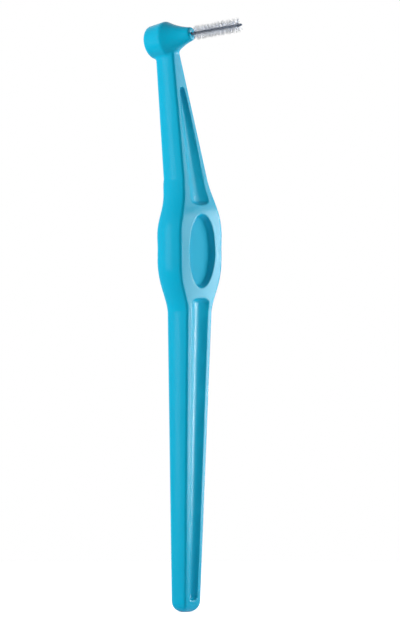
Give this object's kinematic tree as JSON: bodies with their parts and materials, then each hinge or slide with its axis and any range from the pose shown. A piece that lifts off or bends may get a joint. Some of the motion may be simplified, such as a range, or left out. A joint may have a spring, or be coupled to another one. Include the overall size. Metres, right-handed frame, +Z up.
{
  "type": "interdental brush",
  "caption": "Angled interdental brush: a slender fluted plastic handle with a waisted grip, a drum-shaped head with a tapering nose, and a twisted-wire filament brush set across it.",
  "frame": {"origin": "centre of the flat oval floor of the recess in the front of the grip", "axes": "+X out of the recess floor, the way that the brush points; +Z up the handle from butt to head; +Y to the side, across the width"},
  "size_m": [0.0299, 0.0206, 0.1555],
  "materials": {
    "handle_plastic": "glossy moulded",
    "wire_steel": "drawn wire",
    "filament_nylon": "fine translucent filament"
  },
  "bodies": {
    "root": {"handle": "handle_plastic", "twisted_wire": "wire_steel", "filament_row_01": "filament_nylon", "filament_row_02": "filament_nylon", "filament_row_03": "filament_nylon", "filament_row_04": "filament_nylon", "filament_row_05": "filament_nylon", "filament_row_06": "filament_nylon", "filament_row_07": "filament_nylon", "filament_row_08": "filament_nylon", "filament_row_09": "filament_nylon", "filament_row_10": "filament_nylon", "filament_row_11": "filament_nylon", "filament_row_12": "filament_nylon"}
  },
  "joints": []
}
